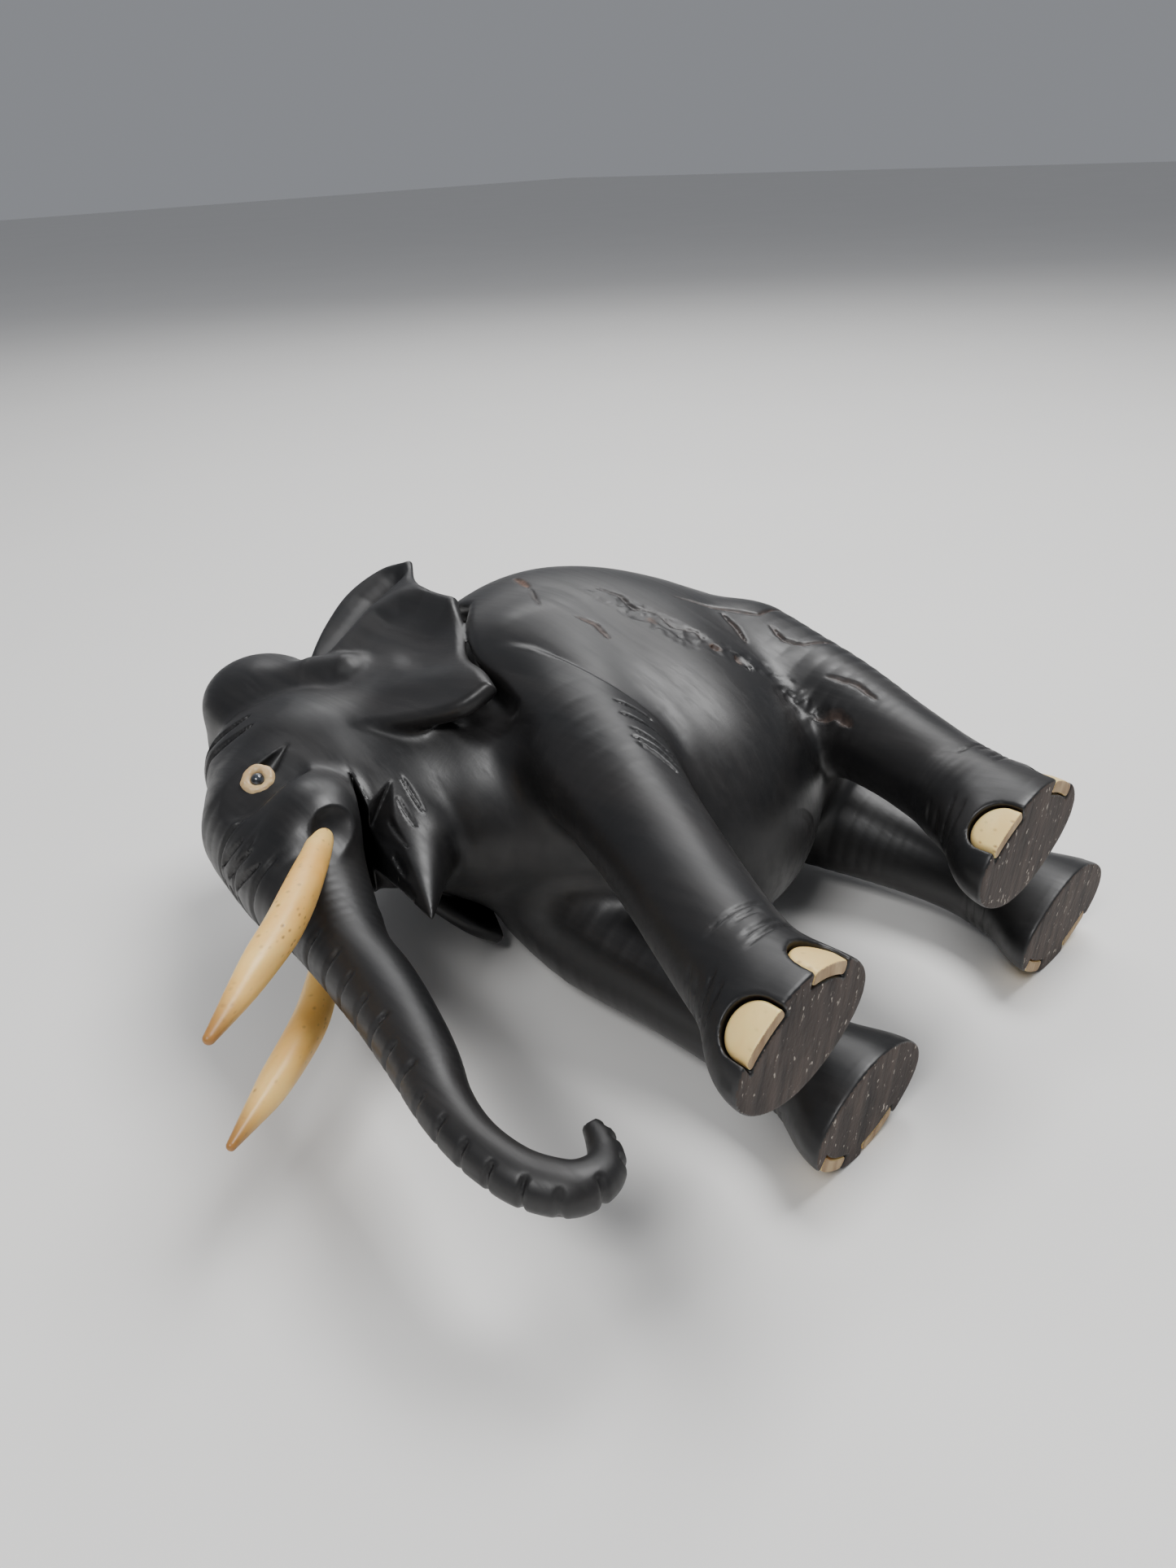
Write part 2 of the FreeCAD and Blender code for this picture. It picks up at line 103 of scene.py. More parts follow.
def box_middle(node):
    """The middle of a CAD node's box, in carving millimetres."""
    low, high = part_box(node)
    return np.array(TO_CARVING @ ((Vector(low) + Vector(high)) / 2))


def sole_middle(leg):
    """The middle of a leg's sole, in carving millimetres."""
    return np.array(TO_CARVING @ Vector(MOUNTS[leg + "_sole"]["pos_m"]))


# ---- distance fields ----

def smooth_min(a, b, blend):
    """The lower of two fields, rounded over where they come within blend of each other."""
    bridge = np.maximum(blend - np.abs(a - b), 0) / blend
    return np.minimum(a, b) - bridge * bridge * blend / 4


def smooth_max(a, b, blend):
    """The higher of two fields, rounded over in the same way."""
    return -smooth_min(-a, -b, blend)


def ease(value):
    """0 below 0, 1 above 1, and a smooth rise between."""
    value = np.clip(value, 0, 1)
    return value * value * (3 - 2 * value)


LATTICE = np.random.default_rng(11).random((16, 16, 16)).astype(np.float32) * 2 - 1


def noise(x, y, z, size):
    """A smooth random field from -1 to 1 with blobs about size mm across."""
    cells = []
    for axis in (x, y, z):
        place = axis / size + 100
        whole = np.floor(place)
        part = place - whole
        cells.append((whole.astype(np.int32) & 15, part * part * (3 - 2 * part)))
    (i, u), (j, v), (k, w) = cells
    total = 0
    for di in (0, 1):
        for dj in (0, 1):
            for dk in (0, 1):
                weight = (u if di else 1 - u) * (v if dj else 1 - v) * (w if dk else 1 - w)
                total = total + weight * LATTICE[(i + di) & 15, (j + dj) & 15, (k + dk) & 15]
    return total


def smooth_line(points, pieces=6):
    """The points of a curve through the given ones (Catmull-Rom)."""
    points = np.array((points[0], *points, points[-1]), float)
    curve = []
    for before, start, end, after in zip(points, points[1:], points[2:], points[3:]):
        for t in np.arange(pieces) / pieces:
            bend = 2 * before - 5 * start + 4 * end - after
            twist = 3 * (start - end) + after - before
            curve.append(start + 0.5 * ((end - before) * t + bend * t**2 + twist * t**3))
    return curve


class Oval:
    """An ellipsoid, leaning forward by some degrees about the y axis."""

    def __init__(self, centre, radii, lean=0.0):
        self.points = np.array([centre], float)
        self.reach = max(radii)
        self.radii = radii
        self.lean = math.radians(lean)

    def distance(self, x, y, z):
        cx, cy, cz = self.points[0]
        a, b, c = self.radii
        x, y, z = x - cx, y - cy, z - cz
        sine, cosine = math.sin(self.lean), math.cos(self.lean)
        x, z = x * cosine - z * sine, x * sine + z * cosine
        near = np.sqrt((x / a) ** 2 + (y / b) ** 2 + (z / c) ** 2)
        slope = np.sqrt((x / a**2) ** 2 + (y / b**2) ** 2 + (z / c**2) ** 2)
        return near * (near - 1) / np.maximum(slope, 1e-6)


class Limb:
    """A round bar through the spine's points, with a radius at each. smooth rounds it between them."""

    def __init__(self, spine, radii, smooth=False):
        radii = radii if np.ndim(radii) else [radii] * len(spine)
        stations = [(*point, radius) for point, radius in zip(spine, radii)]
        if smooth:
            stations = [*smooth_line(stations), stations[-1]]
        self.points = np.array(stations, float)[:, :3]
        self.radii = np.array(stations, float)[:, 3]
        self.reach = max(self.radii)

    def distance(self, x, y, z):
        best = FAR
        for start, end, r0, r1 in zip(self.points, self.points[1:], self.radii, self.radii[1:]):
            run = end - start
            t = ((x - start[0]) * run[0] + (y - start[1]) * run[1] + (z - start[2]) * run[2]) / (run @ run)
            t = np.clip(t, 0, 1)
            dx, dy, dz = x - start[0] - t * run[0], y - start[1] - t * run[1], z - start[2] - t * run[2]
            best = np.minimum(best, np.sqrt(dx * dx + dy * dy + dz * dz) - r0 - (r1 - r0) * t)
        return best


class Wood:
    """Sample points, each with its distance to the wood's surface so far (below zero inside the wood) and
    how raw the wood is there, from 0 for polished to 1 for freshly broken."""

    def __init__(self, x, y, z):
        self.at = (np.float32(x), np.float32(y), np.float32(z))
        self.depth = np.full(len(x), FAR, np.float32)
        self.raw = np.zeros(len(x), np.float32)

    def near(self, shape, margin, side=1):
        """The sample points in the shape's box, widened by margin. side -1 mirrors the shape."""
        low = shape.points.min(axis=0) - shape.reach - margin
        high = shape.points.max(axis=0) + shape.reach + margin
        if side < 0:
            low[1], high[1] = -high[1], -low[1]
        inside = np.ones(len(self.depth), bool)
        for axis, lowest, highest in zip(self.at, low, high):
            inside &= (axis > lowest) & (axis < highest)
        index = np.flatnonzero(inside)
        x, y, z = (axis[index] for axis in self.at)
        return index, x, y * side, z

    def join(self, shape, blend, side=1):
        """Adds a shape, with a fillet about blend wide."""
        index, x, y, z = self.near(shape, blend + 6, side)
        if len(index):
            self.depth[index] = smooth_min(self.depth[index], shape.distance(x, y, z), blend)

    def cut(self, shape, blend, side=1, raw=0.0):
        """Takes a shape out, with its edge rounded by about blend."""
        index, x, y, z = self.near(shape, blend + 2, side)
        if len(index):
            distance = shape.distance(x, y, z)
            self.depth[index] = smooth_max(self.depth[index], -distance, blend)
            self.raw[index] = np.maximum(self.raw[index], raw * (distance < 0.4))

    def press(self, shape, push, side=1):
        """Sinks the surface by push(x, y, z, distance to the shape) millimetres; below zero it swells."""
        index, x, y, z = self.near(shape, 1, side)
        if len(index):
            self.depth[index] += push(x, y, z, shape.distance(x, y, z))

    def score(self, line, width, depth, side=1, raw=0.0, view=(0, 2)):
        """Cuts a narrow V along the line as it looks from the side, or from the front with view (1, 2)."""
        index, x, y, z = self.near(Limb(line, width), 5, side)
        if len(index):
            place = (x, y, z)
            flat = np.array(line, float)[:, view]
            middle, half = (flat[0] + flat[-1]) / 2, np.linalg.norm(flat[-1] - flat[0]) / 2 + width
            u, v = place[view[0]], place[view[1]]
            taper = np.maximum(1.02 - (np.hypot(u - middle[0], v - middle[1]) / half) ** 2, 0.02)
            cut = np.maximum(1 - line_distance(u, v, flat) / (width * taper), 0) * np.minimum(taper * 2, 1)
            self.depth[index] += depth * cut
            self.raw[index] = np.maximum(self.raw[index], raw * (cut > 0.2))


def line_distance(u, v, line):
    """Distance in a plane to a line of straight stretches."""
    best = FAR
    for start, end in zip(np.array(line, float), np.array(line[1:], float)):
        run = end - start
        t = np.clip(((u - start[0]) * run[0] + (v - start[1]) * run[1]) / (run @ run), 0, 1)
        best = np.minimum(best, np.hypot(u - start[0] - t * run[0], v - start[1] - t * run[1]))
    return best


# ---- barrel and tail ----

BARREL = (
    (Oval((0, 0, 115), (47, 41.3, 59), lean=-6), 1),
    (Oval((10, 0, 128), (34, 41.8, 44)), 10),
    (Oval((26, 0, 120), (40, 38, 50), lean=12), 12),
    (Oval((44, 0, 124), (30, 27, 38)), 9),
    (Oval((-27, 0, 97), (25, 29, 35)), 12),
    (Oval((16, 0, 86), (34, 35, 39)), 12),
)
TAIL = Limb(
    ((-40, 0, 140), (-47, 0, 129), (-52.5, 0, 115), (-55, 0, 100), (-53.5, 0, 85), (-49, 0, 71),
     (-45.5, 0, 60)),
    (4.5, 3.6, 3.2, 3, 2.8, 3.4, 1.4),
    smooth=True,
)


def carve_barrel(wood):
    """Torso and tail."""
    for oval, blend in BARREL:
        wood.join(oval, blend)
    wood.join(TAIL, 2)


# ---- legs and feet ----

class Leg:
    """A leg from its place in the body down to its sole, whose middle the record gives."""

    def __init__(self, name, spine, radii, foot):
        self.name = name
        self.sole = sole_middle(name)
        self.foot = foot
        x, y, _ = self.sole
        self.limb = Limb([*spine, (x, y, 0)], radii, smooth=True)
        self.hoof = Oval((x, y, 0), (*foot, 15))

    def carve(self, wood):
        wood.join(self.limb, 7)
        wood.join(self.hoof, 6)


LEGS = (
    Leg("left_fore", ((26, 24, 118), (42, 23, 86), (57, 21.5, 54), (69, 21, 30), (76, 20.5, 14)),
        (17, 15.8, 12.6, 11.6, 11.8, 12.4), (18.4, 12.2)),
    Leg("right_fore", ((34, -24, 118), (44, -23, 84), (47, -21, 52), (48, -20.5, 30), (49, -20, 14)),
        (17, 15.4, 12.6, 11.6, 11.8, 12.4), (18.4, 12.2)),
    Leg("left_hind", ((-24, 17, 92), (-21, 19, 64), (-15.5, 19.5, 42), (-10.5, 19.5, 26), (-5, 20, 14)),
        (19, 14.5, 11.8, 11.2, 12.2, 12.6), (20.5, 12.5)),
    Leg("right_hind", ((-32, -19, 92), (-35, -20, 64), (-37, -20.5, 42), (-38, -20.5, 26), (-37, -20, 14)),
        (19, 15, 12, 11.4, 12.2, 12.6), (20.5, 12.5)),
)
NAIL_HALF_WIDTH = 5.2
NAIL_SIDE_HEIGHT = 2.8
NAIL_DEPTH = 3.2
NAIL_GAP = 0.42
NAIL_SUNK = 0.5
NAIL_LEAN = 0.12
NAIL_BAR_LENGTH = 8


class Nail:
    """A half-moon bar that stands in the foot's edge and shows as a toenail."""

    def __init__(self, leg, place):
        self.leg = leg
        self.name = leg.name + "_nail_" + place
        x, y, _ = box_middle(self.name) - leg.sole
        a, b = leg.foot
        along = math.atan2(y / b, x / a)
        outward = np.array((math.cos(along) / a, math.sin(along) / b))
        self.outward = outward / np.linalg.norm(outward)
        self.edge = leg.sole[:2] + np.array((a * math.cos(along), b * math.sin(along)))
        self.points = np.array([(*self.edge, NAIL_SIDE_HEIGHT)])
        self.reach = NAIL_HALF_WIDTH + NAIL_SIDE_HEIGHT

    def distance(self, x, y, z):
        ox, oy = self.outward
        ex, ey = x - self.edge[0], y - self.edge[1]
        across = ey * ox - ex * oy
        inward = -(ex * ox + ey * oy) - NAIL_BAR_LENGTH
        rise = np.maximum(z - NAIL_SIDE_HEIGHT, 0)
        return smooth_max(np.sqrt(across**2 + rise**2) - NAIL_HALF_WIDTH, inward, 0.5)

    def foot_depth(self, x, y, z):
        """Distance to the foot's own surface, without nails."""
        foot = Wood(x, y, z)
        self.leg.carve(foot)
        return foot.depth

    def recess(self, wood):
        """Cuts the pocket that holds the nail, a gap wider all round."""
        index, x, y, z = wood.near(self, 2)
        if len(index):
            foot = self.foot_depth(x, y, z)
            pocket = smooth_max(self.distance(x, y, z) - NAIL_GAP, -(foot + NAIL_DEPTH + NAIL_GAP), 0.4)
            wood.depth[index] = smooth_max(wood.depth[index], -pocket, 0.5)

    def piece(self, wood):
        """The nail itself: the foot's outer layer inside the bar, a little below the wood's face."""
        x, y, z = wood.at
        foot = self.foot_depth(x, y, z)
        crown = NAIL_SUNK + NAIL_LEAN * np.maximum(z - NAIL_SIDE_HEIGHT, 0)
        shell = smooth_max(foot + crown, -(foot + NAIL_DEPTH), 0.5)
        wood.depth = smooth_max(smooth_max(self.distance(x, y, z), shell, 1.0), 0.15 - z, 0.3)


NAILS = [Nail(leg, place) for leg in LEGS for place in ("front", "side")]


def carve_ankle_lines(wood, leg):
    """Short level lines above each nail, cut around the ankle with a narrow gouge."""
    rows, gap, first = 4, 2.7, 12.5
    band = Oval((leg.sole[0] - 3, leg.sole[1], first + gap * rows / 2), (24, 22, 12))
    places = [nail for nail in NAILS if nail.leg is leg]

    def push(x, y, z, distance):
        total = 0
        for order, nail in enumerate(places):
            ox, oy = nail.outward
            ex, ey = x - nail.edge[0], y - nail.edge[1]
            across = ey * ox - ex * oy
            for row in range(rows):
                reach = 5.6 + 1.6 * math.sin(2.1 * row + order)
                level = first + gap * row + 0.5 * math.sin(3.3 * row + 2 * order)
                line = z - level - 0.05 * across * (1 + row) * (-1) ** order
                groove = np.maximum(1 - np.abs(line) / 0.6, 0)
                near_nail = ex * ox + ey * oy > -14
                total = total + 0.55 * groove * ease((reach - np.abs(across)) / 2.5) * near_nail
        return total

    wood.press(band, push)


def carve_legs(wood):
    """The four legs, sawn off level at their soles."""
    for leg in LEGS:
        leg.carve(wood)
    wood.depth = smooth_max(wood.depth, -wood.at[2], 0.6)


def carve_feet(wood):
    """The ankle wrinkles and the recesses that hold the toenails."""
    for leg in LEGS:
        carve_ankle_lines(wood, leg)
    for nail in NAILS:
        nail.recess(wood)


# ---- head and trunk ----

TRUNK = Limb(
    ((92, 0, 140), (99.5, 0, 120), (103.5, 0, 105), (108, 0, 90), (110.5, 0, 78), (113.5, 0, 66),
     (117, 0, 55), (120.4, 0, 46), (122.2, 0, 38), (122.5, 0, 31), (121.5, 0, 24), (118.4, 0, 18),
     (115.3, 0, 15.9), (111.5, 0, 15.6), (108.7, 0, 17.5), (106.6, 0, 20.9), (105.8, 0, 23.6)),
    (18, 14.5, 11, 8.5, 8.1, 7.3, 6.4, 5.4, 4.8, 4.6, 4.7, 4.7, 4.4, 3.9, 3.2, 2.6, 1.8),
    smooth=True,
)
SKULL = Oval((71, 0, 145), (30, 23, 36), lean=24)
DOME = Oval((66, 6, 184.5), (17, 13, 17))
EAR_BRIDGE = Limb(((66, 9, 178), (60, 16, 169), (56, 21, 160)), (9, 7, 5))
CHEEK = Oval((94, 12, 121), (11, 9, 13), lean=-30)
TUSK_NICHE = Oval((97.5, 18.8, 99), (11, 8.6, 15), lean=-12)
JAW = Limb(((70, 0, 120), (89, 0, 88)), (15, 0.6))
VALLEY = Limb(((99, 0, 166), (93, 16, 162), (82, 24, 162)), (11, 11, 10))
BROW_LINES = (
    ((95, 1.5, 172.5), (92.5, 9, 170), (88, 17.5, 163)),
    ((97, 1.5, 168), (94.5, 9, 165.5), (90, 18.5, 157)),
    ((111.5, 1.5, 133), (108, 10.5, 127)),
    ((112.5, 1, 129), (109.4, 10.5, 122.5)),
    ((113, 1, 124.5), (110.5, 9.5, 118)),
)
THROAT_LINES = (
    ((72.8, 16.9, 117.2), (73.6, 12.2, 108)),
    ((76.2, 13.8, 114.5), (77.3, 9.9, 106.5)),
    ((79.6, 11.4, 113.8), (81.8, 7.6, 103.7)),
    ((83.5, 7, 107.3), (85.5, 4.6, 99.9)),
)


def head_side(wood, side):
    """One half of the crown, the root of its ear and its cheek."""
    wood.join(DOME, 6, side)
    wood.join(EAR_BRIDGE, 6, side)
    wood.join(CHEEK, 5, side)


EYE_FACING = np.array((0.42, 0.84, -0.34))
EYE_NOTCH = ((-3.2, 1.9, 0.9), (-11.0, 5.2, 2.9))
EYE_NOTCH_RADII = (2.3, 0.1)
TEMPLE_FLAT = (13, 11, 13)
TEMPLE_FLAT_DEPTH = 2
TRUNK_CUTS = 22
FIRST_TRUNK_CUT = 12.0
NOSTRIL = Oval((105.6, 0, 25.6), (1.5, 2, 2.6))


def eye_socket(wood, side):
    """The flat of the temple that the eye is let into, and the notch at the eye's outer corner."""
    ring = box_middle("left_eye_ring")

    def flatten(x, y, z, distance):
        above = (x - ring[0]) * EYE_FACING[0] + (y - ring[1]) * EYE_FACING[1] + (z - ring[2]) * EYE_FACING[2]
        return np.clip(above + 0.4, 0, TEMPLE_FLAT_DEPTH) * ease(-distance / 4)

    wood.press(Oval(ring, TEMPLE_FLAT), flatten, side)
    wood.cut(Limb([ring + np.array(place) for place in EYE_NOTCH], EYE_NOTCH_RADII), 0.3, side)


def carve_trunk_lines(wood):
    """Level cuts across the front of the trunk, closer together towards its tip."""
    spine, radii = TRUNK.points, TRUNK.radii
    runs = np.linalg.norm(np.diff(spine, axis=0), axis=1)
    travelled = np.concatenate(([0], np.cumsum(runs)))
    last = travelled[-5]
    for number in range(TRUNK_CUTS):
        share = number / (TRUNK_CUTS - 1)
        along = FIRST_TRUNK_CUT + (last - FIRST_TRUNK_CUT) * (1 - (1 - share) ** 1.25)
        middle = np.array([np.interp(along, travelled, spine[:, axis]) for axis in range(3)])
        ahead = np.array([np.interp(along + 1, travelled, spine[:, axis]) for axis in range(3)]) - middle
        ahead /= np.linalg.norm(ahead)
        front = np.array((-ahead[2], 0, ahead[0]))
        radius = np.interp(along, travelled, radii)
        depth = 1.0 + 0.2 * math.sin(5.1 * number)
        half = 0.75 + 0.2 * (share > 0.8)
        spread = 0.45 + 0.1 * math.sin(2.7 * number)

        def push(x, y, z, distance):
            px, pz = x - middle[0], z - middle[2]
            along_line = px * ahead[0] + pz * ahead[2] - 0.06 * np.abs(y)
            facing = (px * front[0] + pz * front[2]) / np.maximum(np.sqrt(px**2 + y**2 + pz**2), 1e-3)
            groove = np.maximum(1 - np.abs(along_line) / half, 0)
            return depth * groove * ease((facing - spread) / 0.25)

        wood.press(Oval(middle, [radius + 3] * 3), push)


def hollow(x, y, z, distance):
    """A shallow hollow that fades out towards its edge."""
    return 1.1 * ease(-distance / 11)


def carve_head(wood):
    """Skull, jaw, trunk and cheeks, then the mouth and the finer cuts."""
    wood.join(SKULL, 10)
    wood.join(JAW, 5)
    for side, _ in SIDES:
        wood.cut(JawFlat(), 0.2, side)
    wood.join(TRUNK, 5)
    for side, _ in SIDES:
        head_side(wood, side)
    wood.cut(MouthWedge(), 0.3)
    for side, _ in SIDES:
        wood.press(VALLEY, hollow, side)
        wood.cut(TUSK_NICHE, 0.3, side)
        eye_socket(wood, side)
        for line in BROW_LINES:
            wood.score(line, 1.0, 1.1, side, view=(1, 2))
        for line in THROAT_LINES:
            wood.score(line, 0.6, 0.7, side)
    carve_trunk_lines(wood)
    wood.cut(NOSTRIL, 0.5)


class JawFlat:
    """The flat on each side of the jaw, from the edge of the mouth to the tip."""

    facing = np.array((0.82, 0.56, 0.1))
    tip = np.array((89.0, 0, 88.0))
    top = 118.0
    points = np.array(((86.0, 5, 103.0),))
    reach = 17.0

    def distance(self, x, y, z):
        x, y, low = x - self.tip[0], y - self.tip[1], z - self.tip[2]
        beyond = x * self.facing[0] + y * self.facing[1] + low * self.facing[2]
        return np.maximum(-beyond, z - self.top)


class MouthWedge:
    """A wedge cut through the head from side to side, between the trunk and the jaw."""

    apex = np.array((80.5, 126.5))
    front_foot = np.array((95.0, 99.0))
    back_foot = np.array((86.5, 98.5))
    points = np.array(((81.0, -16, 126.5), (93.0, 16, 97.0)))
    reach = 2.0

    def distance(self, x, y, z):
        sides = []
        for foot, turn in ((self.front_foot, 1), (self.back_foot, -1)):
            run = foot - self.apex
            run /= np.linalg.norm(run)
            sides.append(turn * (-(x - self.apex[0]) * run[1] + (z - self.apex[1]) * run[0]))
        return np.maximum(np.maximum(*sides), self.front_foot[1] - 4 - z)


# ---- ears ----

EAR_ROOT = np.array((60.5, 21.6, 153.9))
EAR_OUT = np.array((-0.859, 0.46, -0.224))
EAR_UP = np.array((-0.304, -0.107, 0.947))
EAR_FACE = np.array((0.411, 0.881, 0.232))
EAR_ARCS = (
    ((-4, 27), (7, 40), (19, 48.5), (31, 48), (38, 41)),
    ((38, 41), (34, 29), (33, 14), (35.5, 0)),
    ((35.5, 0), (30, -12), (25.5, -25), (25, -37), (23.5, -46)),
    ((23.5, -46), (14, -43.5), (4, -33), (-6, -20)),
)
EAR_SCOOP = ((2, 24), (12.9, 31), (22, 36.5), (30, 39))
EAR_FOLD = ((4, 17), (18.6, 22.1), (27, 20), (33, 12), (34.8, 0))
EAR_LOWER_FOLD = ((24.3, -44), (20, -33), (10, -18))
EAR_THICKNESS = 5.2
EAR_OUTLINE = [tuple(point) for arc in EAR_ARCS for point in smooth_line(arc)]


def outline_distance(u, v, outline):
    """Distance to a closed outline, below zero inside it."""
    inside = np.zeros(u.shape, bool)
    for (u0, v0), (u1, v1) in zip(outline, outline[1:] + outline[:1]):
        crosses = (v0 > v) != (v1 > v)
        inside ^= crosses & (u < (u1 - u0) * (v - v0) / ((v1 - v0) or 1e-9) + u0)
    gap = line_distance(u, v, outline + outline[:1])
    return np.where(inside, -gap, gap)


def ear_place(x, y, z):
    """Where a point lies in the ear's own plane: out from the head, up the head and off the face."""
    x, y, z = x - EAR_ROOT[0], y - EAR_ROOT[1], z - EAR_ROOT[2]
    return [x * axis[0] + y * axis[1] + z * axis[2] for axis in (EAR_OUT, EAR_UP, EAR_FACE)]


class EarHollow:
    """The hollow behind an ear: its outline, a little larger, and deep enough to free its back."""

    points = np.array([EAR_ROOT + EAR_OUT * 15])
    reach = 56.0

    def distance(self, x, y, z):
        u, v, w = ear_place(x, y, z)
        edge = outline_distance(u, v, EAR_OUTLINE) - 1.0
        slab = np.abs(w + 4) - 5.5
        return smooth_max(smooth_max(edge, slab, 3.0), 13 - u, 4.0)


class Ear:
    """A leaf-shaped ear: a scoop under its upper rim, a folded ridge, and three points at its back edge."""

    points = np.array([EAR_ROOT + EAR_OUT * 15])
    reach = 54.0

    def distance(self, x, y, z):
        u, v, w = ear_place(x, y, z)
        edge = outline_distance(u, v, EAR_OUTLINE)
        scoop = np.exp(-(line_distance(u, v, EAR_SCOOP) / 4.2) ** 2)
        fold = np.exp(-(line_distance(u, v, EAR_FOLD) / 6.0) ** 2)
        lower = np.exp(-(line_distance(u, v, EAR_LOWER_FOLD) / 6.0) ** 2)
        dish = np.exp(-((u - 20) / 12) ** 2 - ((v + 7) / 15) ** 2)
        relief = 2.4 * fold - 3.6 * scoop + 0.9 * lower - 2.2 * dish
        front = w - relief - 0.2
        thickness = EAR_THICKNESS - 0.05 * np.clip(u, 0, 40)
        back = 0.45 * relief + 0.2 - thickness - w
        plate = smooth_max(front, back, 1.0) * 0.85
        return smooth_max(edge, plate, 2.4)


def carve_ears(wood):
    """Each ear stands clear of the neck over a hollow that is cut behind it."""
    for side, _ in SIDES:
        wood.cut(EarHollow(), 3, side)
        wood.join(Ear(), 2.5, side)


# ---- shoulder, hip and the worn left flank ----

SHOULDER_EDGE = ((41, 122), (38.5, 110), (38, 98), (37.3, 89.5), (36, 82.7), (34.5, 75.5), (33.5, 66))
SHOULDER_CUTS = (
    ((40.8, 38.6, 80.8), (36, 34.2, 73.6)),
    ((43.4, 37.6, 76.6), (37.5, 33.4, 67.5)),
    ((45.6, 36.8, 71.4), (41.5, 32, 62)),
    ((47.6, 36.7, 69.2), (44.0, 32, 59.6)),
    ((48.4, 36.2, 67.3), (46.6, 32, 56.4)),
)


def carve_shoulder(wood, side):
    """The shoulder blade's crisp back edge, and the short cuts across the muscle below it."""
    region = Oval((30, 40, 94), (26, 26, 34))

    def push(x, y, z, distance):
        best, behind, along = np.full(x.shape, FAR), np.zeros(x.shape), np.zeros(x.shape)
        runs = len(SHOULDER_EDGE) - 1
        for number, (start, end) in enumerate(zip(SHOULDER_EDGE, SHOULDER_EDGE[1:])):
            run = np.array(end) - np.array(start)
            t = np.clip(((x - start[0]) * run[0] + (z - start[1]) * run[1]) / (run @ run), 0, 1)
            dx, dz = x - start[0] - t * run[0], z - start[1] - t * run[1]
            gap = np.hypot(dx, dz)
            closer = gap < best
            best = np.where(closer, gap, best)
            behind = np.where(closer, np.sign(dx * run[1] - dz * run[0]) * gap, behind)
            along = np.where(closer, (number + t) / runs, along)
        rise = np.maximum(behind, 0) / 1.6
        fade = ease(along / 0.35) * ease((1 - along) / 0.4)
        return 1.3 * fade * np.where(rise < 1, rise, np.exp(-(rise - 1) / 4)) * (y > 8) * ease(-distance / 6)

    wood.press(region, push, side)
    for start, end in SHOULDER_CUTS:
        wood.score((start, end), 0.75, 1.3, side)


FLAKE = Limb(((11, 43, 118), (6.9, 42, 101), (5.5, 39, 89), (1, 36, 82), (-3, 31, 73)), (4, 6, 6, 5, 3))
HIP_SCAR = Limb(((-3, 32, 78), (-6, 28, 69), (-7.5, 25, 58)), (5, 5.5, 4))
CRACKS = (
    (((14.5, 38, 141), (17, 40.5, 135), (18.2, 41.5, 132)), 1.0, 0.6, 1.0),
    (((18, 41.4, 132.5), (20.5, 42, 128), (22, 42.3, 126), (25.5, 42.3, 120)), 0.7, 0.5, 0.1),
    (((8.5, 42, 119), (6, 42, 112), (7.3, 41.5, 106), (3.6, 41, 101)), 0.8, 0.7, 0.1),
    (((3.6, 41, 101), (4.8, 40, 95), (1.2, 39, 91), (2.4, 38, 86)), 0.7, 0.5, 0.1),
    (((22.3, 42.8, 111), (20.5, 42, 106), (21.9, 40.9, 100)), 0.9, 0.5, 0.4),
    (((-14.3, 38.4, 95), (-12.5, 37, 89), (-9.6, 35.7, 83)), 0.9, 0.9, 0.2),
    (((-8, 41.5, 106), (-13, 39, 101), (-22.2, 37.3, 89), (-33.2, 33, 90)), 1.0, 0.9, 0.3),
    (((-20.3, 36.1, 84), (-18, 35, 78), (-19.9, 34.5, 73), (-27, 30, 70)), 1.0, 0.9, 0.3),
    (((-6.9, 25.4, 59), (-8, 26, 54), (-6.8, 26.4, 49)), 0.9, 0.8, 0.3),
    (((-14, 27, 62), (-15, 27, 54), (-13, 26, 47)), 0.9, 0.7, 0.2),
)
PITS = (((18, 28.8, 75), 1.2), ((2.1, 36.6, 83.8), 1.0), ((7.5, 41.6, 99), 1.6), ((-1, 34, 79), 0.9))


def carve_wear(wood):
    """The flaked strip along the left flank, the scar on the hip, and the cracks and pits around them."""

    def chips(x, y, z, distance):
        """Small flat-bottomed chips of two sizes, fewer towards the strip's edge."""
        within = ease(-distance / 3.5)
        large = ease((noise(x, y, z, 4.5) + 0.45 * within - 0.4) / 0.1)
        small = ease((noise(x, z, y, 1.9) + 0.5 * within - 0.55) / 0.14)
        return within * (0.26 * large + 0.22 * small)

    wood.press(FLAKE, chips)
    wood.press(HIP_SCAR, chips)
    for line, width, depth, raw in CRACKS:
        wood.score(line, width, depth, raw=raw)
    for place, radius in PITS:
        wood.cut(Oval(place, (radius, radius * 0.8, radius * 1.3)), 0.2, raw=0.5)


RIPPLE_DEPTH = 0.12
RIPPLE_SIZE = 11
RIPPLE_REACH = 5
RIPPLE_FLOOR = 3


def carve_body(wood):
    """The whole block, which is a little uneven all over as hand carving is."""
    carve_barrel(wood)
    carve_legs(wood)
    carve_head(wood)
    carve_ears(wood)
    for side, _ in SIDES:
        carve_shoulder(wood, side)
    carve_wear(wood)
    carve_feet(wood)
    x, y, z = wood.at
    index = np.flatnonzero((np.abs(wood.depth) < RIPPLE_REACH) & (z > RIPPLE_FLOOR))
    wood.depth[index] += RIPPLE_DEPTH * noise(x[index], y[index], z[index], RIPPLE_SIZE)


# ---- bone inlays ----

